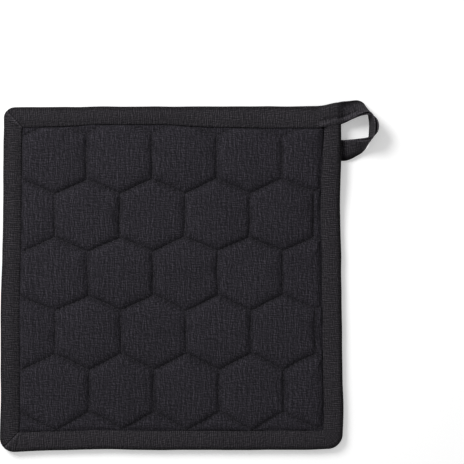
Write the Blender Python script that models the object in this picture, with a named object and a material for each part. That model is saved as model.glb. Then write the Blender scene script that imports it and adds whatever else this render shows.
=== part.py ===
"""Quilted square pot holder with a bound edge and a hanging loop, lying face up.

Metres, +Z up. The origin is the middle of the square, on the surface that it lies on.
X runs across the front from left to right, Y from the bottom edge to the top edge.
"""

import math

import bmesh
import bpy
from mathutils import Vector

# Outline and clearances, in metres
HALF_WIDTH = 0.1005  # middle to outer edge, along X
HALF_HEIGHT = 0.1016  # middle to outer edge, along Y
CLEARANCE = 0.0003  # between two pieces of cloth that touch in the real thing

# Binding: one strip folded round the edges
BINDING_WALL = 0.0012  # thickness of the cloth on each side of the fold
BINDING_HEIGHT = 0.0052  # over both walls and the edge they hold
BINDING_WIDTH = {"left": 0.0108, "top": 0.0118, "right": 0.0114, "bottom": 0.0114}
INNER_CORNER_RADIUS = 0.0006
ARC_STEPS = 4
SIDE_STEPS = 18
# The fold's section: share of the width from the inner lip, share of the height
FOLD_SECTION = ((0.0, 1.0), (0.80, 1.0), (0.95, 0.82), (1.0, 0.5), (0.95, 0.18), (0.80, 0.0), (0.0, 0.0))
# Corners counter-clockwise from the lower right: side of X, side of Y, outer radius
CORNERS = (
    ("right", "bottom", 0.0085),
    ("right", "top", 0.0016),
    ("left", "top", 0.0066),
    ("left", "bottom", 0.0092),
)
SIGN = {"left": -1.0, "right": 1.0, "bottom": -1.0, "top": 1.0}

# Pad: the quilted square, thin where it is sewn and where the binding grips it
LIP_GAP = 0.0005  # binding's inner lip to the first stitch of the pad's crowned part
SEAM_TOP, SEAM_BOTTOM = 0.0038, 0.0016
CELL_TOP, CELL_BOTTOM = 0.0068, 0.0
FLANGE_GAP = 0.0005  # the pad's thin edge to each wall of the binding
FLANGE_TOP = BINDING_HEIGHT - BINDING_WALL - FLANGE_GAP
FLANGE_BOTTOM = BINDING_WALL + FLANGE_GAP
FLANGE_INSET = 0.0034  # outer edge of the binding to the raw edge of the pad
FLANGE_CORNER_INSET = 0.0047  # the same at the corners, which are trimmed

# Honeycomb of seams: upright seams stand in rows, and slanted ones join a row to the next
CELL_PITCH = 0.0384  # between upright seams in one row
FIRST_SEAM = -0.0504  # X, at the height of LEAN_CENTRE, of one upright seam of every second row
SEAM_LEAN = 0.0099  # how far the seams drift to the right for each metre down
LEAN_CENTRE = 0.0037
SEAM_ROWS = (  # from the top edge down: upper end and lower end of the upright seams
    (0.1200, 0.0945),
    (0.0851, 0.0592),
    (0.0506, 0.0250),
    (0.0164, -0.0090),
    (-0.0178, -0.0432),
    (-0.0529, -0.0777),
    (-0.0892, -0.1200),
)
SEAM_COUNT = 8  # upright seams in a row
FIRST_COLUMN = -2  # number of the leftmost one, which is beyond the panel
BORDER_SNAP = 0.0015  # a seam end this near the border is sewn onto it
BORDER_STEP = 0.0070  # longest stretch of the border between two points
FULL_CELL_RADIUS = 0.0190
FULL_RISE_SHARE = 0.6  # a cut cell with this share of the full radius still rises as high
# Crown of a full cell, from its seam inwards: width of the step, share of the rise reached
CROWN_STEPS = ((0.0013, 0.50), (0.0027, 0.88), (0.0040, 1.0))

# How the sewn square differs from a true one: place along the side, shift of the edge
LEFT_DRIFT = ((-0.101, -0.0023), (-0.075, -0.0017), (-0.020, -0.0016), (0.035, -0.0002), (0.101, 0.0002))
RIGHT_DRIFT = (
    (-0.101, -0.0003), (-0.078, 0.0002), (-0.045, -0.0005), (0.010, -0.0011), (0.047, -0.0018),
    (0.080, -0.0012), (0.101, -0.0015),
)
TOP_DRIFT = ((-0.100, 0.0003), (-0.058, 0.0005), (-0.045, 0.0008), (0.085, 0.0008), (0.100, 0.0030))
BOTTOM_DRIFT = (
    (-0.100, -0.0009), (-0.067, 0.0003), (-0.043, 0.0009), (-0.010, 0.0005), (0.075, 0.0005), (0.100, 0.0012),
)
DRIFT_REACH = 0.045  # how far into the square a shift of its edge is felt
TOP_LIP_DRIFT = (  # the top binding's lip also wavers by itself
    (-0.090, 0.0), (-0.070, 0.0004), (-0.043, 0.0014), (-0.008, 0.0014), (0.020, -0.0003), (0.070, -0.0009),
)
LIP_DRIFT_REACH = 0.025

# Hanging loop: the binding's free end, folded shut and sewn to the back of the right edge
LOOP_WIDTH = 0.0122
LOOP_THICKNESS = 0.0019
LOOP_SAMPLES = 4  # sections between two rows of the table
# Sections along the loop: the upper fold's x and y, the way in which the lower fold lies from it
# (degrees from +X), how steeply the tape drops to it (degrees), height of the lower fold
LOOP_SECTIONS = (
    (0.0995, 0.0926, 90, 8, 0.0041),
    (0.1054, 0.0947, 92, 26, 0.0024),
    (0.1105, 0.0970, 96, 44, 0.0012),
    (0.1147, 0.0978, 106, 60, 0.0008),
    (0.1177, 0.0962, 132, 72, 0.0006),
    (0.1192, 0.0933, 160, 76, 0.0005),
    (0.1196, 0.0895, 185, 76, 0.0005),
    (0.1190, 0.0860, 215, 73, 0.0006),
    (0.1172, 0.0837, 242, 66, 0.0007),
    (0.1133, 0.0824, 260, 56, 0.0008),
    (0.1087, 0.0821, 267, 42, 0.0010),
    (0.1042, 0.0822, 270, 22, 0.0011),
    (0.1011, 0.0823, 270, 6, 0.0011),
    (0.0981, 0.0824, 270, 0, 0.0011),
    (0.0896, 0.0825, 270, 0, 0.0011),
)
# The sewn end lies under the edge and lifts this corner: start and end of the ramp along X and Y
CORNER_LIFT = LOOP_THICKNESS + 2 * CLEARANCE
LIFT_RAMP_X = (0.050, 0.086)
LIFT_RAMP_Y = (0.030, 0.066)

CLOTH_COLOUR = (0.0242, 0.0227, 0.0273, 1.0)  # washed black cotton, linear
BINDING_COLOUR = (0.0262, 0.0243, 0.0290, 1.0)
CLOTH_ROUGHNESS = 0.95
SMOOTH_ANGLE = math.radians(50)


def smooth_share(value, start, end):
    """0 before start, 1 after end, with a smooth ramp between."""
    share = min(max((value - start) / (end - start), 0.0), 1.0)
    return share * share * (3.0 - 2.0 * share)


def drift_along(table, place):
    """The shift that a drift table gives at a place along its side."""
    for (start, shift), (end, next_shift) in zip(table, table[1:]):
        if place <= end:
            return shift + (next_shift - shift) * smooth_share(place, start, end)
    return table[-1][1]


def settle(bm):
    """Shift a true square's vertices to the sewn outline, and lift the corner over the loop's end."""
    lip = HALF_HEIGHT - BINDING_WIDTH["top"]
    for vert in bm.verts:
        x, y, z = vert.co
        near_left = smooth_share(-x, HALF_WIDTH - DRIFT_REACH, HALF_WIDTH)
        near_right = smooth_share(x, HALF_WIDTH - DRIFT_REACH, HALF_WIDTH)
        near_top = smooth_share(y, HALF_HEIGHT - DRIFT_REACH, HALF_HEIGHT)
        near_bottom = smooth_share(-y, HALF_HEIGHT - DRIFT_REACH, HALF_HEIGHT)
        vert.co.x += near_left * drift_along(LEFT_DRIFT, y) + near_right * drift_along(RIGHT_DRIFT, y)
        vert.co.y += near_top * drift_along(TOP_DRIFT, x) + near_bottom * drift_along(BOTTOM_DRIFT, x)
        near_lip = smooth_share(y, lip - LIP_DRIFT_REACH, lip) * smooth_share(-y, -HALF_HEIGHT, -lip)
        vert.co.y += near_lip * drift_along(TOP_LIP_DRIFT, x)
        vert.co.z += CORNER_LIFT * smooth_share(x, *LIFT_RAMP_X) * smooth_share(y, *LIFT_RAMP_Y)


def cloth_material(name, colour):
    """Matt woven cotton."""
    material = bpy.data.materials.new(name)
    material.use_nodes = True
    shader = material.node_tree.nodes["Principled BSDF"]
    shader.inputs["Base Color"].default_value = colour
    shader.inputs["Roughness"].default_value = CLOTH_ROUGHNESS
    shader.inputs["Metallic"].default_value = 0.0
    return material


def add_object(name, bm, material):
    """Turn a bmesh into a smooth-shaded object."""
    mesh = bpy.data.meshes.new(name)
    bm.to_mesh(mesh)
    bm.free()
    mesh.materials.append(material)
    mesh.shade_smooth()
    mesh.set_sharp_from_angle(angle=SMOOTH_ANGLE)
    body = bpy.data.objects.new(name, mesh)
    bpy.context.collection.objects.link(body)
    return body


def add_walls(body, thickness, offset):
    """Give a sheet of cloth its thickness."""
    solidify = body.modifiers.new("cloth", "SOLIDIFY")
    solidify.thickness = thickness
    solidify.offset = offset
    solidify.use_even_offset = True


def half_size(side):
    """Distance from the middle to the outer edge on one side."""
    return HALF_WIDTH if side in ("left", "right") else HALF_HEIGHT


def panel_edge(side):
    """Coordinate of the crowned panel's border on one side."""
    return SIGN[side] * (half_size(side) - BINDING_WIDTH[side] - LIP_GAP)


def seam_net(bm):
    """Flat net of honeycomb cells, reaching past the border on every side."""
    ends = {}
    for row, (upper, lower) in enumerate(SEAM_ROWS):
        shift = 0.0 if row % 2 else -0.5
        for column in range(FIRST_COLUMN, FIRST_COLUMN + SEAM_COUNT):
            for end, height in (("upper", upper), ("lower", lower)):
                across = FIRST_SEAM + CELL_PITCH * (column + shift) - SEAM_LEAN * (height - LEAN_CENTRE)
                ends[row, column, end] = bm.verts.new((across, height, 0.0))
    for row in range(len(SEAM_ROWS)):
        between = 1 if row % 2 else 0
        for column in range(FIRST_COLUMN, FIRST_COLUMN + SEAM_COUNT - 1):
            outline = [
                ends.get((row - 1, column + between, "lower")),
                ends[row, column, "upper"],
                ends[row, column, "lower"],
                ends.get((row + 1, column + between, "upper")),
                ends[row, column + 1, "lower"],
                ends[row, column + 1, "upper"],
            ]
            bm.faces.new([vert for vert in outline if vert])


def trim_to_panel(bm):
    """Sew seam ends that are near the border onto it, and cut off what lies outside."""
    for side, sign in SIGN.items():
        axis = 0 if side in ("left", "right") else 1
        border = panel_edge(side)
        for vert in bm.verts:
            if abs(vert.co[axis] - border) < BORDER_SNAP:
                vert.co[axis] = border
        place, outward = Vector(), Vector()
        place[axis], outward[axis] = border, sign
        bmesh.ops.bisect_plane(
            bm, geom=bm.verts[:] + bm.edges[:] + bm.faces[:], dist=1e-6,
            plane_co=place, plane_no=outward, clear_outer=True,
        )
    loose = [vert for vert in bm.verts if not vert.link_faces]
    bmesh.ops.delete(bm, geom=loose, context="VERTS")
    for edge in [edge for edge in bm.edges if edge.is_boundary]:
        cuts = math.ceil(edge.calc_length() / BORDER_STEP) - 1
        if cuts:
            bmesh.ops.subdivide_edges(bm, edges=[edge], cuts=cuts)


def crown_cell(bm, cell, seam_level, crown_level):
    """Raise one cell from its seam in steps; a cut or narrow cell rises less."""
    middle = cell.calc_center_median()
    reach = min(
        abs((middle - edge.verts[0].co).cross((edge.verts[1].co - edge.verts[0].co).normalized()).z)
        for edge in cell.edges
    )
    share = min(1.0, reach / FULL_CELL_RADIUS)
    rise = (crown_level - seam_level) * (1.0 if share > FULL_RISE_SHARE else math.sqrt(share))
    for width, part_of_rise in CROWN_STEPS:
        bmesh.ops.inset_individual(bm, faces=[cell], thickness=width * share, depth=0.0, use_even_offset=True)
        for vert in cell.verts:
            vert.co.z = seam_level + rise * part_of_rise


def flange_place(co):
    """Where a border point goes on the pad's raw edge, inside the binding."""
    on_x = [side for side in ("left", "right") if abs(co.x - panel_edge(side)) < 1e-5]
    on_y = [side for side in ("bottom", "top") if abs(co.y - panel_edge(side)) < 1e-5]
    inset = FLANGE_CORNER_INSET if on_x and on_y else FLANGE_INSET
    across = SIGN[on_x[0]] * (HALF_WIDTH - inset) if on_x else co.x
    along = SIGN[on_y[0]] * (HALF_HEIGHT - inset) if on_y else co.y
    return across, along


def build_pad(material):
    """One filled solid: crowned cells on both sides, sewn seams, thin edge in the binding."""
    bm = bmesh.new()
    seam_net(bm)
    trim_to_panel(bm)
    lower_cells = bm.faces[:]
    raised = bmesh.ops.extrude_face_region(bm, geom=lower_cells)["geom"]
    upper_cells = [item for item in raised if isinstance(item, bmesh.types.BMFace)]
    for vert in (item for item in raised if isinstance(item, bmesh.types.BMVert)):
        vert.co.z = SEAM_TOP
    for vert in {vert for cell in lower_cells for vert in cell.verts}:
        vert.co.z = SEAM_BOTTOM

    cells = set(upper_cells + lower_cells)
    walls = [face for face in bm.faces if face not in cells]
    border = {vert for face in walls for vert in face.verts}
    for cell in upper_cells:
        crown_cell(bm, cell, SEAM_TOP, CELL_TOP)
    for cell in lower_cells:
        crown_cell(bm, cell, SEAM_BOTTOM, CELL_BOTTOM)
    for vert in border:
        vert.co.z = FLANGE_TOP if vert.co.z > (SEAM_TOP + SEAM_BOTTOM) / 2 else FLANGE_BOTTOM

    rim = bmesh.ops.extrude_face_region(bm, geom=walls)["geom"]
    for vert in (item for item in rim if isinstance(item, bmesh.types.BMVert)):
        vert.co.x, vert.co.y = flange_place(vert.co)
    bmesh.ops.delete(bm, geom=walls, context="FACES")
    bmesh.ops.recalc_face_normals(bm, faces=bm.faces[:])
    settle(bm)
    return add_object("quilted_pad", bm, material)


def edge_stations():
    """Outer and inner points of the binding, counter-clockwise round the square."""
    corners = []
    for number, (side_x, side_y, radius) in enumerate(CORNERS):
        quarter = []
        for step in range(ARC_STEPS + 1):
            angle = math.radians(90 * (number - 1 + step / ARC_STEPS))
            way = Vector((math.cos(angle), math.sin(angle)))
            outer = Vector((SIGN[side_x] * (HALF_WIDTH - radius), SIGN[side_y] * (HALF_HEIGHT - radius)))
            inner = Vector((
                SIGN[side_x] * (HALF_WIDTH - BINDING_WIDTH[side_x] - INNER_CORNER_RADIUS),
                SIGN[side_y] * (HALF_HEIGHT - BINDING_WIDTH[side_y] - INNER_CORNER_RADIUS),
            ))
            quarter.append((outer + way * radius, inner + way * INNER_CORNER_RADIUS))
        corners.append(quarter)
    stations = []
    for quarter, following in zip(corners, corners[1:] + corners[:1]):
        stations += quarter
        (outer, inner), (next_outer, next_inner) = quarter[-1], following[0]
        for step in range(1, SIDE_STEPS):
            share = step / SIDE_STEPS
            stations.append((outer.lerp(next_outer, share), inner.lerp(next_inner, share)))
    return stations


def build_binding(material):
    """The strip folded round the four edges, with its two walls gripping the pad."""
    bm = bmesh.new()
    sections = []
    for outer, inner in edge_stations():
        points = [inner.lerp(outer, across).to_3d() for across, _ in FOLD_SECTION]
        for point, (_, height) in zip(points, FOLD_SECTION):
            point.z = height * BINDING_HEIGHT
        sections.append([bm.verts.new(point) for point in points])
    for section, following in zip(sections, sections[1:] + sections[:1]):
        for first in range(len(FOLD_SECTION) - 1):
            bm.faces.new((section[first], section[first + 1], following[first + 1], following[first]))
    settle(bm)
    binding = add_object("binding", bm, material)
    add_walls(binding, BINDING_WALL, -1.0)
    return binding


def curve_through(before, start, end, after, share):
    """Catmull-Rom value between start and end."""
    bend = 2 * before - 5 * start + 4 * end - after
    twist = 3 * (start - end) + after - before
    return start + 0.5 * share * (end - before + share * (bend + share * twist))


def loop_sections():
    """The table's rows with smooth ones between them."""
    rows = [LOOP_SECTIONS[0], *LOOP_SECTIONS, LOOP_SECTIONS[-1]]
    sections = []
    for four in zip(rows, rows[1:], rows[2:], rows[3:]):
        for step in range(LOOP_SAMPLES):
            sections.append([curve_through(*values, step / LOOP_SAMPLES) for values in zip(*four)])
    return sections + [list(LOOP_SECTIONS[-1])]


def build_loop(material):
    """The flat tape, upper fold to lower fold, turned round the opening."""
    bm = bmesh.new()
    rungs = []
    for x, y, toward, drop, low in loop_sections():
        toward, drop = math.radians(toward), math.radians(drop)
        down = Vector((math.cos(toward) * math.cos(drop), math.sin(toward) * math.cos(drop), -math.sin(drop)))
        upper = Vector((x, y, low + LOOP_WIDTH * math.sin(drop)))
        rungs.append([bm.verts.new(upper + down * LOOP_WIDTH * share) for share in (0.0, 0.5, 1.0)])
    for rung, following in zip(rungs, rungs[1:]):
        for first in range(2):
            bm.faces.new((rung[first], rung[first + 1], following[first + 1], following[first]))
    loop = add_object("hanging_loop", bm, material)
    add_walls(loop, LOOP_THICKNESS, 0.0)
    return loop


def build_pot_holder():
    """Clear the scene and build the three pieces."""
    for item in list(bpy.data.objects):
        bpy.data.objects.remove(item)
    build_pad(cloth_material("quilted_cotton", CLOTH_COLOUR))
    binding_cloth = cloth_material("binding_cotton", BINDING_COLOUR)
    build_binding(binding_cloth)
    build_loop(binding_cloth)


build_pot_holder()
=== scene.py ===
"""A quilted square pot holder with a bound edge and a hanging loop, lying face up on a pale table.

Metres, +Z up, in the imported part's frame: the origin is the middle of the square, on the table.
X runs across the front from left to right, Y from the bottom edge to the top edge.
"""

import math

import bmesh
import bpy
from mathutils import Matrix, Vector, noise


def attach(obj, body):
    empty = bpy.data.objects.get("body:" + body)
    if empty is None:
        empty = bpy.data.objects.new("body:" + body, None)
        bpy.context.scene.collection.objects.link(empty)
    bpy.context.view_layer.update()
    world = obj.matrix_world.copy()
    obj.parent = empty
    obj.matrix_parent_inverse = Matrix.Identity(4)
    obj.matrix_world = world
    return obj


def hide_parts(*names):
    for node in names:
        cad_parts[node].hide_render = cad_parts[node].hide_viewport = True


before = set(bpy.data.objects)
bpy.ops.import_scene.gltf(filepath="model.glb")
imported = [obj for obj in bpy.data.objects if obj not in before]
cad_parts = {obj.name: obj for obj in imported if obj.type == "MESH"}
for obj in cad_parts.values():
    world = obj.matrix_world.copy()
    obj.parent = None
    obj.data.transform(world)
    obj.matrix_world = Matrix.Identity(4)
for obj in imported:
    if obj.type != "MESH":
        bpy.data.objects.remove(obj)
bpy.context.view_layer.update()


# Camera: a portrait lens straight above the cloth, a little right of and above the middle of the
# square, so that the square fills the left of the picture.
PIXEL = 0.00059  # cloth that one pixel of the picture covers
PICTURE_WIDTH = 464  # pixels
FACE_HEIGHT = 0.006  # level at which that scale holds
LOOKED_AT = (0.0347, 0.0280)
SENSOR, LENS = 36.0, 110.0  # millimetres

camera = bpy.data.objects.new("camera", bpy.data.cameras.new("camera"))
camera.data.sensor_width, camera.data.lens = SENSOR, LENS
camera.location = (*LOOKED_AT, FACE_HEIGHT + PIXEL * PICTURE_WIDTH * LENS / SENSOR)
bpy.context.collection.objects.link(camera)
bpy.context.scene.camera = camera


# Table and light: a white laminate top under a large soft lamp at the upper left, in a white room.
# The lamp rakes the quilting, and the room fills the seams.
LAMP_AWAY = 1.0  # from the middle of the square
LAMP_AZIMUTH, LAMP_HEIGHT = math.radians(133), math.radians(42)
LAMP_SIZE, LAMP_WATTS = 0.45, 8.1
ROOM_STRENGTH = 0.43
TABLE_HALF = 4.0
TABLE_LEVEL = -0.0002  # just under the cloth


def linear(hex_colour):
    """Linear red, green, blue and alpha of an sRGB hex colour."""
    shares = [int(hex_colour[place:place + 2], 16) / 255 for place in (1, 3, 5)]
    return (*(s / 12.92 if s <= 0.04045 else ((s + 0.055) / 1.055) ** 2.4 for s in shares), 1.0)


def add_node(owner, kind, inputs=(), **settings):
    """Add a shader node, set its properties, and fill its inputs with values or with links."""
    node = owner.node_tree.nodes.new("ShaderNode" + kind)
    for name, value in settings.items():
        setattr(node, name, value)
    for socket, value in dict(inputs).items():
        if isinstance(value, bpy.types.NodeSocket):
            owner.node_tree.links.new(value, node.inputs[socket])
        else:
            node.inputs[socket].default_value = value
    return node


def new_material(name):
    """An empty material with its shader: returns both."""
    material = bpy.data.materials.new(name)
    material.use_nodes = True
    return material, material.node_tree.nodes["Principled BSDF"]


scene = bpy.context.scene
scene.view_settings.view_transform = "Standard"
room = bpy.data.worlds.new("white_room")
room.use_nodes = True
room.node_tree.nodes["Background"].inputs["Color"].default_value = linear("#ffffff")
room.node_tree.nodes["Background"].inputs["Strength"].default_value = ROOM_STRENGTH
scene.world = room

lamp = bpy.data.objects.new("soft_lamp", bpy.data.lights.new("soft_lamp", "AREA"))
lamp.data.shape, lamp.data.size, lamp.data.energy = "DISK", LAMP_SIZE, LAMP_WATTS
toward_lamp = Vector((
    math.cos(LAMP_AZIMUTH) * math.cos(LAMP_HEIGHT),
    math.sin(LAMP_AZIMUTH) * math.cos(LAMP_HEIGHT),
    math.sin(LAMP_HEIGHT),
))
lamp.location = toward_lamp * LAMP_AWAY
lamp.rotation_euler = toward_lamp.to_track_quat("Z", "Y").to_euler()
bpy.context.collection.objects.link(lamp)

# Matt white laminate; a little light of its own keeps the shadows on it pale, as on a light table.
laminate, shader = new_material("white_laminate")
shader.inputs["Base Color"].default_value = linear("#f2f2f2")
shader.inputs["Roughness"].default_value = 0.6
shader.inputs["Emission Color"].default_value = linear("#ffffff")
shader.inputs["Emission Strength"].default_value = 0.30

bm = bmesh.new()
bmesh.ops.create_grid(bm, x_segments=1, y_segments=1, size=TABLE_HALF)
bmesh.ops.translate(bm, verts=bm.verts, vec=(0.0, 0.0, TABLE_LEVEL))
table_mesh = bpy.data.meshes.new("table")
bm.to_mesh(table_mesh)
bm.free()
table_mesh.materials.append(laminate)
table = bpy.data.objects.new("table", table_mesh)
bpy.context.collection.objects.link(table)


# Quilted square: two skins of black cotton over a flat wadding, stitched together in a honeycomb.
# Each cell is a low flat cushion that falls off at its seams; the back lies flat on the table.
HALF_WIDTH, HALF_HEIGHT = 0.1005, 0.1016
BINDING_WIDTH = {"left": 0.0108, "top": 0.0118, "right": 0.0114, "bottom": 0.0114}
SIGN = {"left": -1.0, "right": 1.0, "bottom": -1.0, "top": 1.0}
LIP_GAP = 0.0005  # binding's lip to the border of the quilted panel
SEAM_TOP, SEAM_BOTTOM = 0.0038, 0.0016  # heights over the table, as the next four
CELL_TOP, CELL_BOTTOM = 0.0069, 0.0
FLANGE_TOP, FLANGE_BOTTOM = 0.0037, 0.0015  # the thin edge that the binding grips
FLANGE_INSET, FLANGE_CORNER_INSET = 0.0034, 0.0047  # from the binding's fold
BORDER_RAMP = 0.003  # the seams come up from the thin edge to their level over this

# Seam net: upright seams stand in rows, with slanted ones between the rows
CELL_PITCH = 0.0384
FIRST_SEAM = -0.0504  # place across of one upright seam, from which the others are counted
SEAM_LEAN, LEAN_CENTRE = 0.0099, 0.0037  # the uprights lean left by this slope, about this height
SEAM_TILT = 0.004  # the net also climbs to the right by this slope
SEAM_ROWS = (  # from the top edge down: upper end and lower end of the upright seams
    (0.1200, 0.0939),
    (0.0845, 0.0594),
    (0.0508, 0.0249),
    (0.0162, -0.0096),
    (-0.0186, -0.0440),
    (-0.0537, -0.0786),
    (-0.0898, -0.1200),
)
FIRST_HALF_PITCH, HALF_PITCHES = -5, 14  # where the net begins, and how far it runs
BEYOND = 0.14  # net points past the outermost rows
BORDER_SNAP = 0.0015  # a seam that ends this near the border is sewn onto it
FAN_CUTS = 12  # cuts along each side of a cell and on the way in from it
GRADING = 1.5  # rows of vertices crowd towards the seams by this power

# Shape of a cell, from its seam inwards
FULL_REACH = 0.0190  # from a full cell's seam to its middle
FULL_RISE_SHARE = 0.6  # a cut cell with this share of the reach still rises as high
SHOULDER, SHOULDER_POWER = 0.0020, 1.25  # how fast it rises beside a seam
BORDER_SHOULDER = {"left": 0.0008, "top": 0.0008, "right": 0.0017, "bottom": 0.0018}  # or a lip
BACK_RISE = 1.25  # the back's cushions reach the table before their middle, and are flat there
DOME_SHARE = 0.28  # part of the rise that is spread over the whole cell
SWELL, SWELL_WIDTH = 0.00035, 0.022  # slow unevenness of the wadding
DIMPLE, DIMPLE_WIDTH = 0.00022, 0.0065  # small unevenness
PUCKER, PUCKER_WIDTH, PUCKER_REACH = 0.00050, 0.0032, 0.0028  # small gathers beside the stitches
SEAM_WANDER, SEAM_WANDER_WIDTH = 0.0007, 0.012  # the needle's path from the ruled line
LAYERS_APART = 7.3  # between the layers of the noise that all unevenness comes from
TINY = 1e-5  # what differs by less counts as equal

# How the sewn square differs from a true one: place along the side, shift of the edge
LEFT_DRIFT = (
    (-0.101, -0.0025), (-0.075, -0.0018), (-0.020, -0.0018), (0.035, -0.0005), (0.101, 0.0),
)
RIGHT_DRIFT = (
    (-0.101, -0.0003), (-0.078, 0.0002), (-0.045, -0.0005), (0.010, -0.0011), (0.047, -0.0018),
    (0.080, -0.0012), (0.101, -0.0015),
)
TOP_DRIFT = ((-0.100, 0.0003), (-0.058, 0.0005), (-0.045, 0.0008), (0.085, 0.0008), (0.100, 0.0030))
BOTTOM_DRIFT = (
    (-0.100, -0.0009), (-0.067, 0.0003), (-0.043, 0.0009), (-0.010, 0.0005), (0.075, 0.0005),
    (0.100, 0.0012),
)
DRIFT_REACH = 0.045  # how far in from its edge a shift is felt
RIGHT_RAMP = (0.0805, 0.0886)  # on the right only the border is off, and the seams aren't

# The binding's lips at the top and at the upper right also waver by themselves
TOP_LIP_DRIFT = (
    (-0.090, 0.0), (-0.070, 0.0004), (-0.043, 0.0014), (-0.008, 0.0014), (0.020, -0.0003),
    (0.070, -0.0009),
)
RIGHT_LIP_DRIFT = ((0.055, 0.0), (0.071, 0.0004), (0.088, 0.0013))
TOP_LIP_REACH, RIGHT_LIP_REACH = 0.025, 0.006

# The loop's sewn end lies under the upper right corner and lifts it
CORNER_LIFT = 0.0025
LIFT_RAMP_X, LIFT_RAMP_Y = (0.050, 0.086), (0.030, 0.066)


def smooth_share(value, start, end):
    """0 before start, 1 after end, with a smooth ramp between."""
    share = min(max((value - start) / (end - start), 0.0), 1.0)
    return share * share * (3.0 - 2.0 * share)


def drift_along(drift, place):
    """The shift that a drift table gives at a place along its side."""
    for (start, shift), (end, next_shift) in zip(drift, drift[1:]):
        if place <= end:
            return shift + (next_shift - shift) * smooth_share(place, start, end)
    return drift[-1][1]


def half_size(side):
    """Distance from the middle to the outer edge on one side."""
    return HALF_WIDTH if side in ("left", "right") else HALF_HEIGHT


def inner(side):
    """Coordinate of the binding's lip on one side."""
    return SIGN[side] * (half_size(side) - BINDING_WIDTH[side])


def panel_edge(side):
    """Coordinate of the quilted panel's border on one side."""
    return SIGN[side] * (half_size(side) - BINDING_WIDTH[side] - LIP_GAP)


def settled(place):
    """Where a point of the true square lies once sewn and laid down over the loop's end."""
    x, y, z = place
    near_left = smooth_share(-x, HALF_WIDTH - DRIFT_REACH, HALF_WIDTH)
    near_right = smooth_share(x, *RIGHT_RAMP)
    near_top = smooth_share(y, HALF_HEIGHT - DRIFT_REACH, HALF_HEIGHT)
    near_bottom = smooth_share(-y, HALF_HEIGHT - DRIFT_REACH, HALF_HEIGHT)
    across = x + near_left * drift_along(LEFT_DRIFT, y) + near_right * drift_along(RIGHT_DRIFT, y)
    along = y + near_top * drift_along(TOP_DRIFT, x) + near_bottom * drift_along(BOTTOM_DRIFT, x)
    lip = inner("top")
    near_lip = smooth_share(y, lip - TOP_LIP_REACH, lip) * smooth_share(-along, -HALF_HEIGHT, -lip)
    along += near_lip * drift_along(TOP_LIP_DRIFT, x)
    lip = inner("right")
    near_lip = smooth_share(x, lip - RIGHT_LIP_REACH, lip) * smooth_share(-x, -HALF_WIDTH, -lip)
    across += near_lip * drift_along(RIGHT_LIP_DRIFT, y)
    lift = CORNER_LIFT * smooth_share(x, *LIFT_RAMP_X) * smooth_share(y, *LIFT_RAMP_Y)
    return Vector((across, along, z + lift))


def grain(place, width, layer):
    """Smooth noise from -1 to 1 with bumps of a width; each kind of unevenness has its layer."""
    return noise.noise(Vector((place[0] / width, place[1] / width, layer * LAYERS_APART)))


def sewn_place(place):
    """Where the needle, which wanders a little, takes a point of the ruled seam net."""
    x, y, z = place
    return Vector((
        x + SEAM_WANDER * grain(place, SEAM_WANDER_WIDTH, 4),
        y + SEAM_WANDER * grain(place, SEAM_WANDER_WIDTH, 5),
        z,
    ))


def seam_net(bm):
    """Honeycomb from a grid: its lines become zigzags, and every second upright goes."""
    bmesh.ops.create_grid(bm, x_segments=HALF_PITCHES, y_segments=len(SEAM_ROWS), size=0.5)
    uppers = [upper for upper, _ in SEAM_ROWS] + [-BEYOND]
    lowers = [BEYOND] + [lower for _, lower in SEAM_ROWS]
    places, spare = {}, []
    for vert in bm.verts:
        half_pitch = round((vert.co.x + 0.5) * HALF_PITCHES) + FIRST_HALF_PITCH
        line = round((0.5 - vert.co.y) * len(SEAM_ROWS))
        ends_a_seam = (half_pitch + line) % 2 == 0
        if ends_a_seam:
            low = vert.co.y - TINY
            spare += [edge for edge in vert.link_edges if edge.other_vert(vert).co.y < low]
        height = lowers[line] if ends_a_seam else uppers[line]
        across = FIRST_SEAM + CELL_PITCH * half_pitch / 2 - SEAM_LEAN * (height - LEAN_CENTRE)
        places[vert] = (across, height + SEAM_TILT * across)
    for vert, place in places.items():
        vert.co.xy = place
    bmesh.ops.dissolve_edges(bm, edges=spare, use_verts=False)


def trim_to_panel(bm):
    """Sew seam ends that are near the border onto it, and cut off what lies outside."""
    for side, sign in SIGN.items():
        axis = 0 if side in ("left", "right") else 1
        border = panel_edge(side)
        for vert in bm.verts:
            if abs(vert.co[axis] - border) < BORDER_SNAP:
                vert.co[axis] = border
        place, outward = Vector(), Vector()
        place[axis], outward[axis] = border, sign
        bmesh.ops.bisect_plane(
            bm, geom=bm.verts[:] + bm.edges[:] + bm.faces[:], dist=TINY,
            plane_co=place, plane_no=outward, clear_outer=True,
        )


def borders(point):
    """The sides on whose border of the quilted panel a point lies."""
    places = {"left": point[0], "right": point[0], "bottom": point[1], "top": point[1]}
    return {side for side, place in places.items() if abs(place - panel_edge(side)) < TINY}


def side_distance(point, start, end):
    """Distance of a point from the line through a cell's side."""
    return abs((point - start).cross((end - start).normalized()).z)


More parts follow.
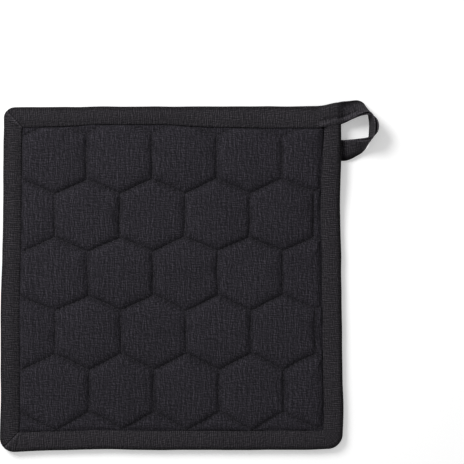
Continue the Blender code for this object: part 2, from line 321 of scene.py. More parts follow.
def fan_cells(bm, from_seam, rise):
    """Split each cell into fine fans round its middle; note how far each vertex is from a seam."""
    fan_of = bm.faces.layers.int.new("fan")
    way_in = bm.verts.layers.float.new("way_in")
    middles = set(bmesh.ops.poke(bm, faces=bm.faces[:])["verts"])
    fans, reach = [], {}
    for number, face in enumerate(bm.faces):
        middle = next(vert for vert in face.verts if vert in middles)
        start, end = (vert.co.copy() for vert in face.verts if vert is not middle)
        centre = middle.co.copy()
        centre_key = tuple(round(value, 6) for value in centre)
        shared = borders(start) & borders(end)
        widen = SHOULDER / BORDER_SHOULDER[shared.pop()] if shared else 1.0
        fans.append((start, end, centre, centre_key, widen))
        reach[centre_key] = min(reach.get(centre_key, math.inf), side_distance(centre, start, end))
        face[fan_of] = number
        middle[way_in] = 1.0
    bmesh.ops.subdivide_edges(bm, edges=bm.edges[:], cuts=FAN_CUTS, use_grid_fill=True)
    for vert in bm.verts:
        theirs = [fans[face[fan_of]] for face in vert.link_faces]
        share = vert[way_in]
        centre, centre_key = theirs[0][2:4]
        if TINY < share < 1 - TINY:
            vert.co = centre + (vert.co - centre) * (1 - share ** GRADING) / (1 - share)
        if share > TINY:
            vert[from_seam] = min(
                widen * side_distance(vert.co, start, end) for start, end, _, _, widen in theirs
            )
            open_share = min(1.0, reach[centre_key] / FULL_REACH)
            vert[rise] = 1.0 if open_share > FULL_RISE_SHARE else math.sqrt(open_share)


def flange_place(co):
    """Where a border point goes on the pad's raw edge, inside the binding."""
    sides = borders(co)
    inset = FLANGE_CORNER_INSET if len(sides) == 2 else FLANGE_INSET
    across, along = co.xy
    for side in sides:
        if side in ("left", "right"):
            across = SIGN[side] * (HALF_WIDTH - inset)
        else:
            along = SIGN[side] * (HALF_HEIGHT - inset)
    return across, along


def skin_height(vert, from_seam, rise, upper):
    """Height of a skin at a vertex: the seam's level, shoulder, low dome and unevenness."""
    x, y = vert.co.xy
    distance = vert[from_seam]
    to_border = min(
        x - panel_edge("left"), panel_edge("right") - x,
        y - panel_edge("bottom"), panel_edge("top") - y,
    )
    inside = smooth_share(to_border, 0.0, BORDER_RAMP)
    shoulder = 1.0 - math.exp(-((distance / SHOULDER) ** SHOULDER_POWER))
    dome = math.sin(math.pi / 2 * min(1.0, distance / FULL_REACH))
    shape = vert[rise] * ((1.0 - DOME_SHARE) * shoulder + DOME_SHARE * dome)
    if not upper:
        low = FLANGE_BOTTOM + (SEAM_BOTTOM - FLANGE_BOTTOM) * inside
        return low - (low - CELL_BOTTOM) * min(1.0, BACK_RISE * shape)
    low = FLANGE_TOP + (SEAM_TOP - FLANGE_TOP) * inside
    near_seam = shoulder * math.exp(-distance / PUCKER_REACH)
    uneven = shoulder * (
        SWELL * grain((x, y), SWELL_WIDTH, 1) + DIMPLE * grain((x, y), DIMPLE_WIDTH, 2)
    ) + PUCKER * near_seam * grain((x, y), PUCKER_WIDTH, 3)
    return low + (CELL_TOP - low) * shape + uneven


bm = bmesh.new()
from_seam, rise = bm.verts.layers.float.new("from_seam"), bm.verts.layers.float.new("rise")
seam_net(bm)
trim_to_panel(bm)
seams = [[vert.co.copy() for vert in edge.verts] for edge in bm.edges if not edge.is_boundary]
fan_cells(bm, from_seam, rise)
for vert in bm.verts:
    if not vert.is_boundary:
        vert.co = sewn_place(vert.co)
lower_faces = bm.faces[:]
raised = bmesh.ops.extrude_face_region(bm, geom=lower_faces)["geom"]
upper_faces = {item for item in raised if isinstance(item, bmesh.types.BMFace)}
upper_verts = {item for item in raised if isinstance(item, bmesh.types.BMVert)}
heights = {vert: skin_height(vert, from_seam, rise, vert in upper_verts) for vert in bm.verts}
for vert, height in heights.items():
    vert.co.z = height
skins = upper_faces.union(lower_faces)
walls = [face for face in bm.faces if face not in skins]
rim = bmesh.ops.extrude_face_region(bm, geom=walls)["geom"]
for vert in (item for item in rim if isinstance(item, bmesh.types.BMVert)):
    vert.co.x, vert.co.y = flange_place(vert.co)
bmesh.ops.delete(bm, geom=walls, context="FACES")
bmesh.ops.recalc_face_normals(bm, faces=bm.faces[:])
for vert in bm.verts:
    vert.co = settled(vert.co)


def add_piece(name, bm, material):
    """Turn a bmesh into a smooth-shaded object."""
    mesh = bpy.data.meshes.new(name)
    bm.to_mesh(mesh)
    bm.free()
    mesh.materials.append(material)
    mesh.shade_smooth()
    piece = bpy.data.objects.new(name, mesh)
    bpy.context.collection.objects.link(piece)
    return piece


# Plain-weave cotton, dyed black and washed soft: matt, its threads paler and darker in short
# streaks. Real threads lie 0.45 mm apart; they are drawn 0.6 mm apart, or they wouldn't show.
MILLIMETRES = 1000.0  # to the metre
THREAD = 0.60  # millimetres, as all sizes in the weave
STREAK = 4.6  # length over which a thread keeps its tone
THREAD_TONES = (  # share of the tone, width, length, step to the next thread
    (0.33, THREAD, STREAK, (1.0, 0.0, 0.0)),
    (0.23, STREAK, THREAD, (0.0, 1.0, 0.0)),
    (0.33, THREAD, THREAD, (1.0, 1.0, 0.0)),
)
PARTING = 0.75  # share of the next thread's tone that is taken away, which tells threads apart
PALE_THREADS = 2.0  # pale threads are rarer than dark ones, by this power
STRAY, STRAY_SCALE = 1.6, 0.11  # how far the threads stray from true, bends to the millimetre
WASH_SHADES, WASH_SCALE = (0.94, 1.06), 0.035  # the wash has left the cloth a little patchy
USUAL_NOISE = (0.30, 0.70)  # the noise hardly ever goes beyond these values
# Painted shade between the threads, and a slight painted highlight on their ridges
RELIEF_SHADES = (0.86, 1.06)  # between the threads and on them
CROSSING = 0.35  # part of the wave over which one thread goes under the other
PALE_RELIEF = 1.5  # a paler thread also stands higher
BUMP_STRENGTH, BUMP_HEIGHT = 0.7, 0.00012
WEAR_AND_HIGHLIGHT_SHADE = 0.7  # the lips and the mitres' folds are this much paler: partly wear, partly painted highlight


def woven_cotton(name, coordinates, dark, pale, rib, rib_pitch, painted_shade):
    """Washed cotton, streaked along its coordinates' second axis and ribbed across the first.

    It is painted darker near a seam or a fold: painted shade for a seam's valley and a fold's side.
    Its last argument gives the attribute that holds the distance from it, the distances between
    which that painted shade ends, and the shade up to there.
    """
    material, shader = new_material(name)
    if coordinates == "Object":
        place = add_node(material, "TexCoord").outputs["Object"]
    else:
        place = add_node(material, "UVMap", uv_map=coordinates).outputs["UV"]
    place = add_node(
        material, "VectorMath", {0: place, "Scale": MILLIMETRES}, operation="SCALE"
    ).outputs[0]
    stray = add_node(
        material, "TexNoise", {"Vector": place, "Scale": STRAY_SCALE, "Detail": 1.0}
    ).outputs["Color"]
    place = add_node(
        material, "VectorMath", {0: stray, 1: (STRAY, STRAY, 0.0), 2: place},
        operation="MULTIPLY_ADD",
    ).outputs[0]

    # Tone: streaks along the warp, fewer along the weft, and single threads, each less the next one
    tone = 0.5 * (1.0 - (1.0 - PARTING) * sum(share for share, _, _, _ in THREAD_TONES))
    for share, width, length, next_thread in THREAD_TONES:
        scale = (1 / width, 1 / length, 1 / THREAD)
        for offset, strength in ((Vector(), share), (next_thread, -PARTING * share)):
            thread = add_node(
                material, "Mapping", {"Vector": place, "Location": offset, "Scale": scale}
            ).outputs[0]
            grey = add_node(
                material, "TexNoise", {"Vector": thread, "Scale": 1.0, "Detail": 0.0}
            ).outputs["Fac"]
            tone = add_node(
                material, "Math", {0: grey, 1: strength, 2: tone}, operation="MULTIPLY_ADD"
            ).outputs[0]
    axes = add_node(material, "SeparateXYZ", {0: place})
    turned = add_node(
        material, "Math", {0: axes.outputs["X"], 1: 2 * math.pi / rib_pitch}, operation="MULTIPLY"
    ).outputs[0]
    ribs = add_node(material, "Math", {0: turned}, operation="SINE").outputs[0]
    tone = add_node(
        material, "Math", {0: ribs, 1: rib, 2: tone}, operation="MULTIPLY_ADD"
    ).outputs[0]

    # Relief: each thread is a ridge, and goes over and under the ones that it crosses
    waves, ridges = [], []
    for axis in ("X", "Y"):
        turned = add_node(
            material, "Math", {0: axes.outputs[axis], 1: math.pi / THREAD}, operation="MULTIPLY"
        ).outputs[0]
        wave = add_node(material, "Math", {0: turned}, operation="SINE").outputs[0]
        waves.append(wave)
        ridges.append(add_node(material, "Math", {0: wave}, operation="ABSOLUTE").outputs[0])
    crossing = add_node(
        material, "Math", {0: waves[0], 1: waves[1]}, operation="MULTIPLY"
    ).outputs[0]
    over = add_node(
        material, "MapRange", {"Value": crossing, "From Min": -CROSSING, "From Max": CROSSING}
    ).outputs["Result"]
    relief = add_node(
        material, "Mix", {0: over, 2: ridges[0], 3: ridges[1]}, data_type="FLOAT"
    ).outputs[0]

    # Colour: between the dark and the pale by the tone
    lightness = add_node(
        material, "MapRange",
        {"Value": tone, "From Min": USUAL_NOISE[0], "From Max": USUAL_NOISE[1]},
    ).outputs["Result"]
    lightness = add_node(
        material, "Math", {0: lightness, 1: PALE_THREADS}, operation="POWER"
    ).outputs[0]
    colour = add_node(
        material, "Mix", {0: lightness, 6: linear(dark), 7: linear(pale)}, data_type="RGBA"
    ).outputs[2]

    # Shade: painted shade between the threads, the wash, and painted shade by a seam or a fold
    wash = add_node(
        material, "TexNoise", {"Vector": place, "Scale": WASH_SCALE, "Detail": 2.0}
    ).outputs["Fac"]
    # Painted shade: the cloth is drawn darker the nearer it lies to a seam or a fold
    attribute, near, far, near_shade = painted_shade
    distance = add_node(material, "Attribute", attribute_name=attribute).outputs["Fac"]
    shade = 1.0
    for value, (from_min, from_max), (to_min, to_max) in (
        (relief, (0.0, 1.0), RELIEF_SHADES),
        (wash, USUAL_NOISE, WASH_SHADES),
        (distance, (near, far), (near_shade, 1.0)),
    ):
        factor = add_node(
            material, "MapRange",
            {
                "Value": value, "From Min": from_min, "From Max": from_max,
                "To Min": to_min, "To Max": to_max,
            },
        ).outputs["Result"]
        shade = add_node(
            material, "Math", {0: factor, 1: shade}, operation="MULTIPLY"
        ).outputs[0]
    # The strip's lips are drawn paler: partly wear, partly painted highlight on the folded edges
    if coordinates != "Object":
        wear_and_highlight = add_node(material, "Attribute", attribute_name="wear_and_highlight").outputs["Fac"]
        paler = add_node(
            material, "Math", {0: wear_and_highlight, 1: WEAR_AND_HIGHLIGHT_SHADE, 2: 1.0}, operation="MULTIPLY_ADD"
        ).outputs[0]
        shade = add_node(material, "Math", {0: shade, 1: paler}, operation="MULTIPLY").outputs[0]
    colour = add_node(
        material, "VectorMath", {0: colour, "Scale": shade}, operation="SCALE"
    ).outputs[0]
    height = add_node(
        material, "Math", {0: tone, 1: PALE_RELIEF, 2: relief}, operation="MULTIPLY_ADD"
    ).outputs[0]
    bump = add_node(
        material, "Bump", {"Height": height, "Strength": BUMP_STRENGTH, "Distance": BUMP_HEIGHT}
    ).outputs[0]
    material.node_tree.links.new(colour, shader.inputs["Base Color"])
    material.node_tree.links.new(bump, shader.inputs["Normal"])
    shader.inputs["Roughness"].default_value = 0.92
    shader.inputs["Specular IOR Level"].default_value = 0.08
    shader.inputs["Sheen Weight"].default_value = 0.02
    shader.inputs["Sheen Roughness"].default_value = 0.5
    return material


# The loom's reed leaves faint lines along the warp. Near a seam or the panel's border the cloth
# is drawn darker, down to 0.8 within 2.4 mm: painted shade in the valleys there.
quilted_cotton = woven_cotton(
    "washed_plain_weave_cotton", "Object", dark="#1b1a1e", pale="#413e45",
    rib=0.024, rib_pitch=3.0, painted_shade=("from_seam", 0.0, 0.0024, 0.80),
)
pad = add_piece("quilted_square", bm, quilted_cotton)
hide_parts("quilted_pad")
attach(pad, "root")


# Quilting thread: black spun polyester, sewn through all layers in a lockstitch and sunk between
# the cells on both faces. It is smoother than the cotton, with faint flecks from its fibres.
STITCH_PITCH, STITCH_LENGTH, STITCH_WIDTH = 0.0030, 0.0024, 0.00042
FIBRE_SCALE = 2500.0  # flecks of fibres, to the metre

thread_material, shader = new_material("black_spun_thread")
place = add_node(thread_material, "TexCoord").outputs["Object"]
fibres = add_node(
    thread_material, "TexNoise", {"Vector": place, "Scale": FIBRE_SCALE, "Detail": 2.0}
).outputs["Fac"]
colour = add_node(
    thread_material, "Mix", {0: fibres, 6: linear("#141216"), 7: linear("#2a272c")},
    data_type="RGBA",
).outputs[2]
thread_material.node_tree.links.new(colour, shader.inputs["Base Color"])
shader.inputs["Roughness"].default_value = 0.7


def sew(bm, start, end):
    """A row of stitches along a straight line: short threads, pointed at both ends."""
    run = end - start
    count = max(1, round(run.length / STITCH_PITCH))
    length = STITCH_LENGTH * min(1.0, run.length / count / STITCH_PITCH)
    turn = run.to_track_quat("Z", "Y").to_matrix().to_4x4()
    size = Matrix.Diagonal((STITCH_WIDTH, STITCH_WIDTH, length, 1.0))
    row = bmesh.new()
    for number in range(count):
        middle = Matrix.Translation(start.lerp(end, (number + 0.5) / count))
        bmesh.ops.create_uvsphere(
            row, u_segments=6, v_segments=5, radius=0.5, matrix=middle @ turn @ size
        )
    mesh = bpy.data.meshes.new("row")
    row.to_mesh(mesh)
    row.free()
    bm.from_mesh(mesh)
    bpy.data.meshes.remove(mesh)


bm = bmesh.new()
for start, end in seams:
    for level in (SEAM_TOP, SEAM_BOTTOM):
        sew(bm, Vector((start.x, start.y, level)), Vector((end.x, end.y, level)))
for vert in bm.verts:
    vert.co = settled(sewn_place(vert.co))
quilting = add_piece("quilting_stitches", bm, thread_material)
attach(quilting, "root")


# Binding: one strip of the same cotton, its raw edges turned under, folded over the four edges and
# topstitched. It starts under the upper right corner, is mitred at both left corners, and ends on
# top where it started, running on as the loop.
CLOTH = 0.00042
BINDING_HEIGHT = 0.0052
ROLL = 0.0034  # the fold over the edge turns within this
INNER_CORNER_RADIUS = 0.0006
ARC_STEPS, SIDE_STEPS = 24, 170
CROWDING = 0.65  # share by which the steps shorten towards the corners
CORNERS = (  # counter-clockwise from the upper left: side of X, side of Y, radius, mitred or not
    ("left", "top", 0.0066, True),
    ("left", "bottom", 0.0092, True),
    ("right", "bottom", 0.0085, False),
)
MITRE_TURNS = (-2.4, -0.8, 0.8, 2.4)  # degrees either side of the mitre, where the strip steps up
MITRE_RISE, MITRE_DIP, MITRE_FADE = 0.0005, 0.00015, 0.010  # the side that comes later lies on top
# A crease runs on one side of the mitre's line. On the other, the upper layer's fold is drawn
# paler: partly wear, partly painted highlight where the fold catches the light
MITRE_GROOVE, MITRE_GROOVE_AWAY, MITRE_GROOVE_WIDTH = 0.0005, 0.0003, 0.0003
MITRE_WEAR_AND_HIGHLIGHT, MITRE_WEAR_AND_HIGHLIGHT_AWAY, MITRE_WEAR_AND_HIGHLIGHT_WIDTH = 1.0, -0.0005, 0.0005
# The left side is also creased in line with the top's lip
CORNER_CREASE, CORNER_CREASE_WIDTH = 0.0004, 0.0004
LEAD_X = 0.0985  # where the binding ends and the loop begins
LAP_HEIGHT = 0.0024  # what the strip's start, inside its end, adds to the height
LAP_RAMP = (0.0852, 0.0882)  # along X, where that comes in
UNDERLAP = 0.0028  # the strip's start ends this far from the top edge
LIP_INSET, STITCH_DIP = 0.0014, 0.00012  # the topstitching's row, and how deep it lies
# The turned edge: distance from the lip, depth under the face, from its raw edge round the lip
HEM = (
    (0.0045, 0.00047), (0.0025, 0.00047), (0.0009, 0.00046), (0.00035, 0.00041), (0.00008, 0.00032),
    (0.0, 0.00023), (0.00008, 0.00014), (0.00035, 0.00005), (0.0009, 0.0), (LIP_INSET, STITCH_DIP),
    (0.0020, 0.00002),
)
# Shares of the flat face, from the hem to the fold
FACE_SHARES = (0.08, 0.15, 0.19, 0.24, 0.35, 0.5, 0.65, 0.8, 0.92)
CROWN, LIP_DROP, CROWN_AT = 0.0012, 0.0007, 0.0060  # the front is highest over the pad's thick edge
SIDE_CROWN = {"left": 1.6, "top": 0.9, "right": 0.6, "bottom": 0.8}  # how much so on each side
CROWN_EVENS = 0.12  # share of a side within which it comes to be as its neighbour
FACE_PUFF = 0.00012  # the cloth stands off a little between the hem and the fold
ROLL_ANGLES = (90, 75, 60, 45, 30, 15)  # degrees
BEAD_WIDTH, BEAD_HEIGHT = 0.0031, 0.0011  # the lip swells into a bead over the strip's start
BEAD_GROOVE, GROOVE_WIDTH = 0.0010, 0.00045  # which the topstitching sets off from the rest
FLARE_WIDTH = 0.0022  # how far in the loop's lips stand apart
WEAR_AND_HIGHLIGHT_WIDTH = 0.0006  # how far in from a lip it is drawn paler, by wear and painted highlight
STRIP_PUFF, STRIP_PUFF_WIDTH = 0.00015, 0.009  # unevenness upwards
STRIP_WAVER, STRIP_WAVER_WIDTH = 0.00022, 0.014  # and sideways
GATHER, GATHER_WIDTH, GATHER_REACH = 0.00012, 0.0026, 0.0040  # the stitches gather the lip a little
# Where the pattern starts on each part, so that their threads differ
PATTERN_STARTS = {
    "top": 0.0, "left": -0.4, "bottom": 0.8, "right": 1.2, "turn": 0.3, "loop": 1.7,
}


def bell(value, middle, width):
    """1 at the middle, falling to 0 some widths away from it."""
    return math.exp(-(((value - middle) / width) ** 2))


def face_height(across, place):
    """Height of a wall's face over the strip's middle plane, at a distance from the lip."""
    level = (place["height"] - CLOTH) / 2 + place["rise"]
    level += place["flare"] * math.exp(-across / FLARE_WIDTH)
    crown = CROWN * (1.0 - (1.0 - min(1.0, across / CROWN_AT)) ** 2) - LIP_DROP
    swell = BEAD_HEIGHT * math.sin(math.pi * min(1.0, across / BEAD_WIDTH))
    groove = BEAD_GROOVE * bell(across, BEAD_WIDTH, GROOVE_WIDTH)
    return level + place["crown"] * crown + place["bead"] * (swell - groove)


def back_of(place):
    """The same place with the back wall's plain face."""
    return dict(place, bead=0.0, rise=0.0, crown=0.0)


def strip_section(place):
    """The strip's cloth from one raw edge to the other: how far from the lip, how high."""
    width = (place["fold"] - place["lip"]).length
    roll = min(ROLL, place["height"] / 2)
    flat_end = width - roll
    hem_end = HEM[-1][0]
    front, back = [], []
    for wall, wall_place in ((front, place), (back, back_of(place))):
        for across, depth in HEM:
            wall.append((across, face_height(across, wall_place) - depth))
        for share in FACE_SHARES:
            across = hem_end + (flat_end - hem_end) * share
            puff = FACE_PUFF * math.sin(math.pi * share)
            wall.append((across, face_height(across, wall_place) + puff))
        level = face_height(flat_end, wall_place)
        for angle in ROLL_ANGLES:
            turn = math.radians(angle)
            wall.append((flat_end + (roll - CLOTH / 2) * math.cos(turn), level * math.sin(turn)))
    return front + [(width - CLOTH / 2, 0.0)] + [(across, -up) for across, up in back[::-1]]


def sweep_strip(bm, places):
    """Run the folded strip through its places; its pattern follows the cloth."""
    sections = [strip_section(place) for place in places]
    rows, columns = len(sections) - 1, len(sections[0]) - 1
    bmesh.ops.create_grid(bm, x_segments=rows, y_segments=columns, size=0.5)
    spread = []
    for section in sections:
        lengths = [0.0]
        for (across, up), (next_across, next_up) in zip(section, section[1:]):
            lengths.append(lengths[-1] + math.hypot(next_across - across, next_up - up))
        spread.append(lengths)
    fold_column = columns // 2
    from_fold, wear_and_highlight = bm.verts.layers.float.new("from_fold"), bm.verts.layers.float.new("wear_and_highlight")
    cell_of = {}
    for vert in bm.verts:
        row, column = round((vert.co.x + 0.5) * rows), round((vert.co.y + 0.5) * columns)
        place = places[row]
        across, up = sections[row][column]
        outward = (place["fold"] - place["lip"]).normalized()
        vert.co = place["lip"] + outward * across + place["up"] * up
        vert[from_fold] = abs(spread[row][column] - spread[row][fold_column])
        # Along the lips the cloth is drawn paler: partly wear, partly painted highlight where they
        # catch the light
        from_edge = max(0.0, across - BEAD_WIDTH / 2) if place["bead"] > 0.5 else across
        if column < fold_column or place["side"] == "loop":
            vert[wear_and_highlight] = place["wear_and_highlight"] * bell(from_edge, 0.0, WEAR_AND_HIGHLIGHT_WIDTH)
        cell_of[vert] = (row, spread[row][column])
    strip = bm.loops.layers.uv.new("strip")
    for face in bm.faces:
        side = places[min(cell_of[vert][0] for vert in face.verts)]["side"]
        for loop in face.loops:
            x, y, _ = loop.vert.co
            row, way_across = cell_of[loop.vert]
            straight = {"top": -x, "left": -y, "bottom": x, "right": y}
            way_along = straight.get(side, places[row]["along"]) + PATTERN_STARTS[side]
            loop[strip].uv = (way_along, way_across)


def place_on_edge(lip, fold, side, crown=1.0, along=0.0):
    """One place along the binding, in the true square."""
    middle = Vector((0.0, 0.0, BINDING_HEIGHT / 2))
    lapped = smooth_share(lip.x, *LAP_RAMP) if side == "top" else 0.0
    return {
        "lip": lip.to_3d() + middle, "fold": fold.to_3d() + middle, "up": Vector((0.0, 0.0, 1.0)),
        "height": BINDING_HEIGHT + LAP_HEIGHT * lapped, "rise": 0.0, "crown": crown, "bead": lapped,
        "flare": 0.0, "wear_and_highlight": lapped, "side": side, "along": along,
    }


def crowded(step):
    """Share of a side at a step: the steps are shorter near the corners."""
    share = step / SIDE_STEPS
    return share - CROWDING * math.sin(2 * math.pi * share) / (2 * math.pi)


def straight_places(start, end, side):
    """Places along a straight side, between the lip's and the fold's points at its two ends."""
    places = []
    for step in range(SIDE_STEPS + 1):
        share = crowded(step)
        lip, fold = start[0].lerp(end[0], share), start[1].lerp(end[1], share)
        own = smooth_share(min(share, 1.0 - share), 0.0, CROWN_EVENS)
        places.append(place_on_edge(lip, fold, side, crown=1.0 + (SIDE_CROWN[side] - 1.0) * own))
    return places


def binding_places():
    """Places from the loop's end of the top edge, counter-clockwise, to the strip's start under it.

    Also returns the lip's and the fold's point on the line of each mitre.
    """
    places, creases, mitres = [], [], []
    lip, fold = Vector((LEAD_X, inner("top"))), Vector((LEAD_X, HALF_HEIGHT))
    side = "top"
    for number, (side_x, side_y, radius, mitred) in enumerate(CORNERS):
        following = {"top": "left", "left": "bottom", "bottom": "right"}[side]
        lip_corner = Vector((
            inner(side_x) - SIGN[side_x] * INNER_CORNER_RADIUS,
            inner(side_y) - SIGN[side_y] * INNER_CORNER_RADIUS,
        ))
        fold_corner = Vector((
            SIGN[side_x] * (HALF_WIDTH - radius),
            SIGN[side_y] * (HALF_HEIGHT - radius),
        ))
        first = math.radians(90 * (number + 1))
        angles = [first + math.radians(90) * step / ARC_STEPS for step in range(ARC_STEPS + 1)]
        middle = ARC_STEPS // 2
        if mitred:
            mitre = angles[middle]
            way = Vector((math.cos(mitre), math.sin(mitre)))
            mitres.append((lip_corner + way * INNER_CORNER_RADIUS, fold_corner + way * radius))
            angles[middle:middle + 1] = [mitre + math.radians(turn) for turn in MITRE_TURNS]
            middle += 1
        ways = [Vector((math.cos(angle), math.sin(angle))) for angle in angles]
        turn = [
            (lip_corner + way * INNER_CORNER_RADIUS, fold_corner + way * radius) for way in ways
        ]
        places += straight_places((lip, fold), turn[0], side)[:-1]
        if mitred:
            creases.append(len(places) + middle)
        for step, (lip, fold) in enumerate(turn):
            part = "turn" if not mitred else side if step <= middle else following
            places.append(place_on_edge(lip, fold, part, along=radius * (angles[step] - first)))
        side = following
    end_height = HALF_HEIGHT - UNDERLAP
    end = Vector((inner("right"), end_height)), Vector((HALF_WIDTH, end_height))
    places += straight_places((lip, fold), end, side)[1:]
    for crease in creases:
        for number, step, level in ((crease, -1, -MITRE_DIP), (crease + 1, 1, MITRE_RISE)):
            way = 0.0
            while way < MITRE_FADE:
                places[number]["rise"] = level * (1.0 - smooth_share(way, 0.0, MITRE_FADE))
                way += (places[number + step]["fold"] - places[number]["fold"]).length
                number += step
    return places, mitres


def mitred_at(place):
    """Depth of the mitred creases on the front at a place, and their folds' wear and painted
    highlight.
    """
    depth, fold_wear_and_highlight = 0.0, 0.0
    for lip, fold in mitres:
        outward, offset = (fold - lip).normalized(), place.xy - lip
        if offset.dot(outward) > -MITRE_GROOVE_WIDTH:
            away = offset.cross(outward)
            depth += MITRE_GROOVE * bell(away, MITRE_GROOVE_AWAY, MITRE_GROOVE_WIDTH)
            fold_wear_and_highlight += MITRE_WEAR_AND_HIGHLIGHT * bell(away, MITRE_WEAR_AND_HIGHLIGHT_AWAY, MITRE_WEAR_AND_HIGHLIGHT_WIDTH)
    if place.x < inner("left"):
        depth += CORNER_CREASE * bell(place.y, inner("top"), CORNER_CREASE_WIDTH)
    return depth, fold_wear_and_highlight


edge_places, mitres = binding_places()
bm = bmesh.new()
sweep_strip(bm, edge_places)
wear_and_highlight = bm.verts.layers.float["wear_and_highlight"]
for vert in bm.verts:
    ruled = vert.co.copy()
    vert.co.x += STRIP_WAVER * grain(ruled, STRIP_WAVER_WIDTH, 11)
    vert.co.y += STRIP_WAVER * grain(ruled, STRIP_WAVER_WIDTH, 12)
    if ruled.z > BINDING_HEIGHT / 2:
        to_lip = max(0.0, abs(ruled.x) - inner("right"), abs(ruled.y) - inner("top"))
        gather = GATHER * math.exp(-to_lip / GATHER_REACH) * grain(ruled, GATHER_WIDTH, 14)
        crease, fold_wear_and_highlight = mitred_at(ruled)
        vert.co.z += STRIP_PUFF * grain(ruled, STRIP_PUFF_WIDTH, 13) + gather - crease
        vert[wear_and_highlight] += fold_wear_and_highlight
    vert.co = settled(vert.co)
# Painted shade: the strip is drawn darker near its outer fold, on the side that turns from the
# light
binding_cotton = woven_cotton(
    "ribbed_binding_cotton", "strip", dark="#1d1c1f", pale="#454246",
    rib=0.07, rib_pitch=1.18, painted_shade=("from_fold", 0.0018, 0.0046, 0.25),
)
binding = add_piece("bound_edge", bm, binding_cotton)
walls = binding.modifiers.new("cloth", "SOLIDIFY")
walls.thickness, walls.offset = CLOTH, 0.0
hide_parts("binding")
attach(binding, "root")


# Hanging loop: the last 80 mm of the same strip, folded shut and topstitched, turned on edge round
# its opening and sewn flat under the right edge. Its sections are the tape's own, in its place.
LOOP_WIDTH, LOOP_THICKNESS, LOOP_SAMPLES = 0.0122, 0.0019, 12
# Where along the loop, in rows of the table below: the strip shuts, the front sinks as it leaves
# the edge, the bead fades, and the two lips part a little and close again
SHUT_ROWS = (0.0, 1.0)
VALLEY, VALLEY_ROW, VALLEY_ROWS = 0.0017, 0.45, 0.3
BEAD_ROWS = (0.8, 2.6)
LOOP_FLARE, FLARE_ROWS, FLARE_END_ROWS = 0.0005, (1.0, 3.0), (9.5, 11.5)
# Upper fold's x and y, the way in which the lower fold lies from it (degrees from +X), how steeply
# the tape drops to it (degrees), height of the lower fold
LOOP_SECTIONS = (
    (0.1054, 0.0947, 92, 26, 0.0024),
    (0.1105, 0.0970, 96, 44, 0.0012),
    (0.1147, 0.0978, 106, 60, 0.0008),
    (0.1177, 0.0962, 132, 72, 0.0006),
    (0.1192, 0.0933, 160, 76, 0.0005),
    (0.1196, 0.0895, 185, 76, 0.0005),
    (0.1190, 0.0860, 215, 73, 0.0006),
    (0.1172, 0.0837, 242, 66, 0.0007),
    (0.1133, 0.0824, 260, 56, 0.0008),
    (0.1087, 0.0821, 267, 42, 0.0010),
    (0.1042, 0.0822, 270, 22, 0.0011),
    (0.1011, 0.0823, 270, 6, 0.0011),
    (0.0981, 0.0824, 270, 0, 0.0011),
    (0.0896, 0.0825, 270, 0, 0.0011),
)


def curve_through(before, start, end, after, share):
    """Catmull-Rom value between start and end."""
    bend = 2 * before - 5 * start + 4 * end - after
    twist = 3 * (start - end) + after - before
    return start + 0.5 * share * (end - before + share * (bend + share * twist))


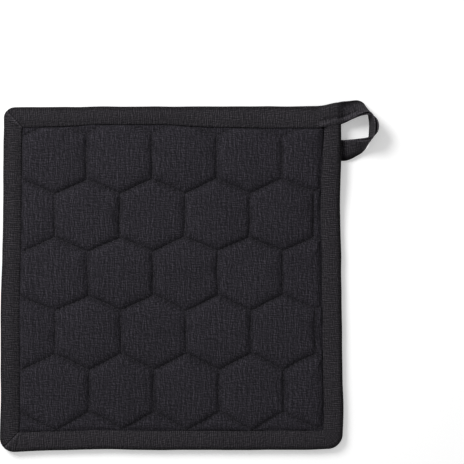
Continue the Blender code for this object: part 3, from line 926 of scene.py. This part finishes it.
def loop_places():
    """The strip's places from the binding's end through the table's rows, shutting as it goes."""
    lead = edge_places[0]
    lip, fold = settled(lead["lip"]), settled(lead["fold"])
    first = (lip.x, lip.y, 90, 0, lip.z)  # there the strip lies flat, and its fold points to +Y
    rows = [first, first, *LOOP_SECTIONS, LOOP_SECTIONS[-1]]
    values = [
        [curve_through(*column, step / LOOP_SAMPLES) for column in zip(*four)]
        for four in zip(rows, rows[1:], rows[2:], rows[3:]) for step in range(LOOP_SAMPLES)
    ] + [list(LOOP_SECTIONS[-1])]
    places, along, last_middle = [], 0.0, None
    for number, (x, y, toward, drop, low) in enumerate(values):
        toward, drop = math.radians(toward), math.radians(drop)
        level = Vector((math.cos(toward), math.sin(toward), 0.0))
        down = level * math.cos(drop) - Vector((0.0, 0.0, math.sin(drop)))
        up = level * math.sin(drop) + Vector((0.0, 0.0, math.cos(drop)))
        row = number / LOOP_SAMPLES
        shut = smooth_share(row, *SHUT_ROWS)
        width = (fold - lip).length * (1.0 - shut) + LOOP_WIDTH * shut
        lip_place = Vector((x, y, low + LOOP_WIDTH * math.sin(drop)))
        middle = lip_place + down * LOOP_WIDTH / 2
        along += (middle - last_middle).length if places else 0.0
        last_middle = middle
        flare = smooth_share(row, *FLARE_ROWS) * (1.0 - smooth_share(row, *FLARE_END_ROWS))
        places.append({
            "lip": lip_place, "fold": lip_place + down * width, "up": up,
            "height": lead["height"] * (1.0 - shut) + LOOP_THICKNESS * shut,
            "rise": -VALLEY * bell(row, VALLEY_ROW, VALLEY_ROWS), "crown": 1.0 - shut,
            "bead": 1.0 - smooth_share(row, *BEAD_ROWS), "flare": LOOP_FLARE * flare,
            "wear_and_highlight": 1.0, "side": "loop", "along": along,
        })
    return places


tape_places = loop_places()
bm = bmesh.new()
sweep_strip(bm, tape_places)
loop = add_piece("tape_loop", bm, binding_cotton)
walls = loop.modifiers.new("cloth", "SOLIDIFY")
walls.thickness, walls.offset = CLOTH, 0.0
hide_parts("hanging_loop")
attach(loop, "root")


# Topstitching: the same thread in one row beside the lip on both faces of the binding and along the
# loop, and a box of stitches that holds the loop's end to the back.
TOPSTITCH_SUNK = 0.00006  # how far the middle of the thread lies under the cloth's face
BOX_INSET, BOX_LENGTH = 0.0022, 0.0062  # from the tape's edges and its end, and along the tape


def sew_along(bm, points):
    """A row of stitches through points, which lie close together."""
    start, way = points[0], 0.0
    for point, following in zip(points, points[1:]):
        way += (following - point).length
        if way >= STITCH_PITCH:
            sew(bm, start, following)
            start, way = following, 0.0


bm = bmesh.new()
for face in (1, -1):
    for places, on_square in ((edge_places, True), (tape_places, False)):
        points = []
        for place in places:
            shown = place if face > 0 else back_of(place)
            inset = LIP_INSET + (BEAD_WIDTH - LIP_INSET) * shown["bead"]
            height = face_height(inset, shown) + CLOTH / 2 - TOPSTITCH_SUNK - STITCH_DIP
            outward = (place["fold"] - place["lip"]).normalized()
            point = place["lip"] + outward * inset + place["up"] * face * height
            points.append(settled(point) if on_square else point)
        sew_along(bm, points)
end = tape_places[-1]
outward, to_edge = (end["fold"] - end["lip"]).normalized(), Vector((1.0, 0.0, 0.0))
under = end["lip"] - end["up"] * (LOOP_THICKNESS / 2 - TOPSTITCH_SUNK) + to_edge * BOX_INSET
near, far = under + outward * BOX_INSET, under + outward * (LOOP_WIDTH - BOX_INSET)
box = (near, near + to_edge * BOX_LENGTH, far + to_edge * BOX_LENGTH, far)
for start, end in zip(box, box[1:] + box[:1]):
    sew(bm, start, end)
topstitching = add_piece("topstitching", bm, thread_material)
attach(topstitching, "root")
